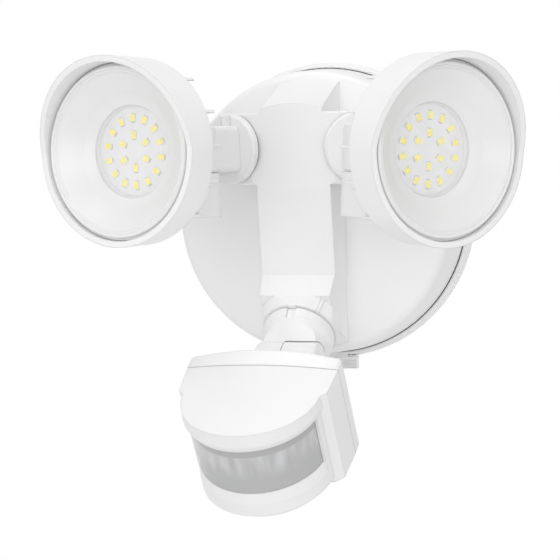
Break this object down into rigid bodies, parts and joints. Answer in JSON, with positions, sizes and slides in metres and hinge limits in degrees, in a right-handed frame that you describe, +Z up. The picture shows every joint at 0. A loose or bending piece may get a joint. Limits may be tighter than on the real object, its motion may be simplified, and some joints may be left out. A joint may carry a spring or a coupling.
{
  "type": "motion sensor security light",
  "caption": "Wall-mounted twin-head outdoor light: round plate and cover, swivelling hooded lamp heads with LED discs, and a tilting motion sensor below.",
  "frame": {"origin": "centre of the wall plate's rear face, on the axis of its wire hole", "axes": "+Z up the wall, -Y forward out of the wall, +X to the right seen from the front"},
  "size_m": [0.2069, 0.1512, 0.1982],
  "materials": {
    "white_plastic": "satin moulded white",
    "reflector_white": "smooth white bowl",
    "clear_lens": "clear polycarbonate",
    "board_white": "white masked aluminium board",
    "led_phosphor": "warm yellow phosphor",
    "window_grey": "milky grey faceted film",
    "foam_grey": "closed-cell foam",
    "seal_rubber": "dark moulded rubber",
    "board_green": "masked circuit board",
    "nut_plastic": "moulded nylon",
    "steel": "zinc plated",
    "detector_metal": "drawn metal can",
    "transformer_tape": "taped winding",
    "capacitor_sleeve": "dark sleeve",
    "terminal_plastic": "moulded nylon",
    "dial_grey": "moulded grey"
  },
  "bodies": {
    "root": {"wall_plate": "white_plastic", "plate_gasket": "foam_grey", "cover_seal": "seal_rubber", "front_cover": "white_plastic", "driver_board": "board_green", "driver_screws": "steel", "driver_transformer": "transformer_tape", "driver_capacitors": "capacitor_sleeve", "terminal_block": "terminal_plastic"},
    "latch": {"release_latch": "white_plastic"},
    "left_swivel": {"left_swivel": "white_plastic", "left_swivel_nut": "nut_plastic"},
    "left_head": {"left_housing": "white_plastic", "left_reflector": "reflector_white", "left_lens": "clear_lens", "left_led_board": "board_white", "left_led_chips": "led_phosphor", "left_hinge_bolt": "steel", "left_hinge_nut": "steel"},
    "right_swivel": {"right_swivel": "white_plastic", "right_swivel_nut": "nut_plastic"},
    "right_head": {"right_housing": "white_plastic", "right_reflector": "reflector_white", "right_lens": "clear_lens", "right_led_board": "board_white", "right_led_chips": "led_phosphor", "right_hinge_bolt": "steel", "right_hinge_nut": "steel"},
    "collar": {"sensor_collar": "white_plastic", "collar_nut": "nut_plastic"},
    "sensor": {"sensor_housing": "white_plastic", "sensor_rear_cover": "white_plastic", "pir_window": "window_grey", "sensor_board": "board_green", "pir_detector": "detector_metal", "tilt_bolt": "steel", "sensor_screws": "steel"},
    "range_dial": {"range_dial": "dial_grey"},
    "time_dial": {"time_dial": "dial_grey"},
    "dusk_dial": {"dusk_dial": "dial_grey"}
  },
  "joints": [
    {"name": "latch_slide", "type": "slide", "parent": "root", "child": "latch", "axis": [0, 0, -1], "range_m": [0, 0.0025], "stiffness_N_per_m": 400, "springref_m": -0.0005},
    {"name": "left_swivel_turn", "type": "hinge", "parent": "root", "child": "left_swivel", "pos_m": [-0.0303, -0.056, 0.0302], "axis": [-0.3746, -0.9272, 0], "range_deg": [-90, 90]},
    {"name": "left_head_pan", "type": "hinge", "parent": "left_swivel", "child": "left_head", "pos_m": [-0.03966, -0.07918, 0.0302], "axis": [-0.0485, 0.0196, 0.9986], "range_deg": [-63.5, 8.5]},
    {"name": "right_swivel_turn", "type": "hinge", "parent": "root", "child": "right_swivel", "pos_m": [0.0303, -0.056, 0.0302], "axis": [0.3746, -0.9272, 0], "range_deg": [-90, 90]},
    {"name": "right_head_pan", "type": "hinge", "parent": "right_swivel", "child": "right_head", "pos_m": [0.03966, -0.07918, 0.0302], "axis": [0.0485, 0.0196, 0.9986], "range_deg": [-45.5, 26.5]},
    {"name": "sensor_swivel", "type": "hinge", "parent": "root", "child": "collar", "pos_m": [0, -0.05484, -0.05349], "axis": [0, -0.766, -0.6428], "range_deg": [-70, 70]},
    {"name": "sensor_tilt", "type": "hinge", "parent": "collar", "child": "sensor", "pos_m": [0, -0.07085, -0.06693], "axis": [1, 0, 0], "range_deg": [-31, 28]},
    {"name": "range_dial_turn", "type": "hinge", "parent": "sensor", "child": "range_dial", "pos_m": [-0.014, -0.09944, -0.11266], "axis": [0, -0.527, 0.8499], "range_deg": [-135, 135]},
    {"name": "time_dial_turn", "type": "hinge", "parent": "sensor", "child": "time_dial", "pos_m": [0, -0.09944, -0.11266], "axis": [0, -0.527, 0.8499], "range_deg": [-135, 135]},
    {"name": "dusk_dial_turn", "type": "hinge", "parent": "sensor", "child": "dusk_dial", "pos_m": [0.014, -0.09944, -0.11266], "axis": [0, -0.527, 0.8499], "range_deg": [-135, 135]}
  ]
}
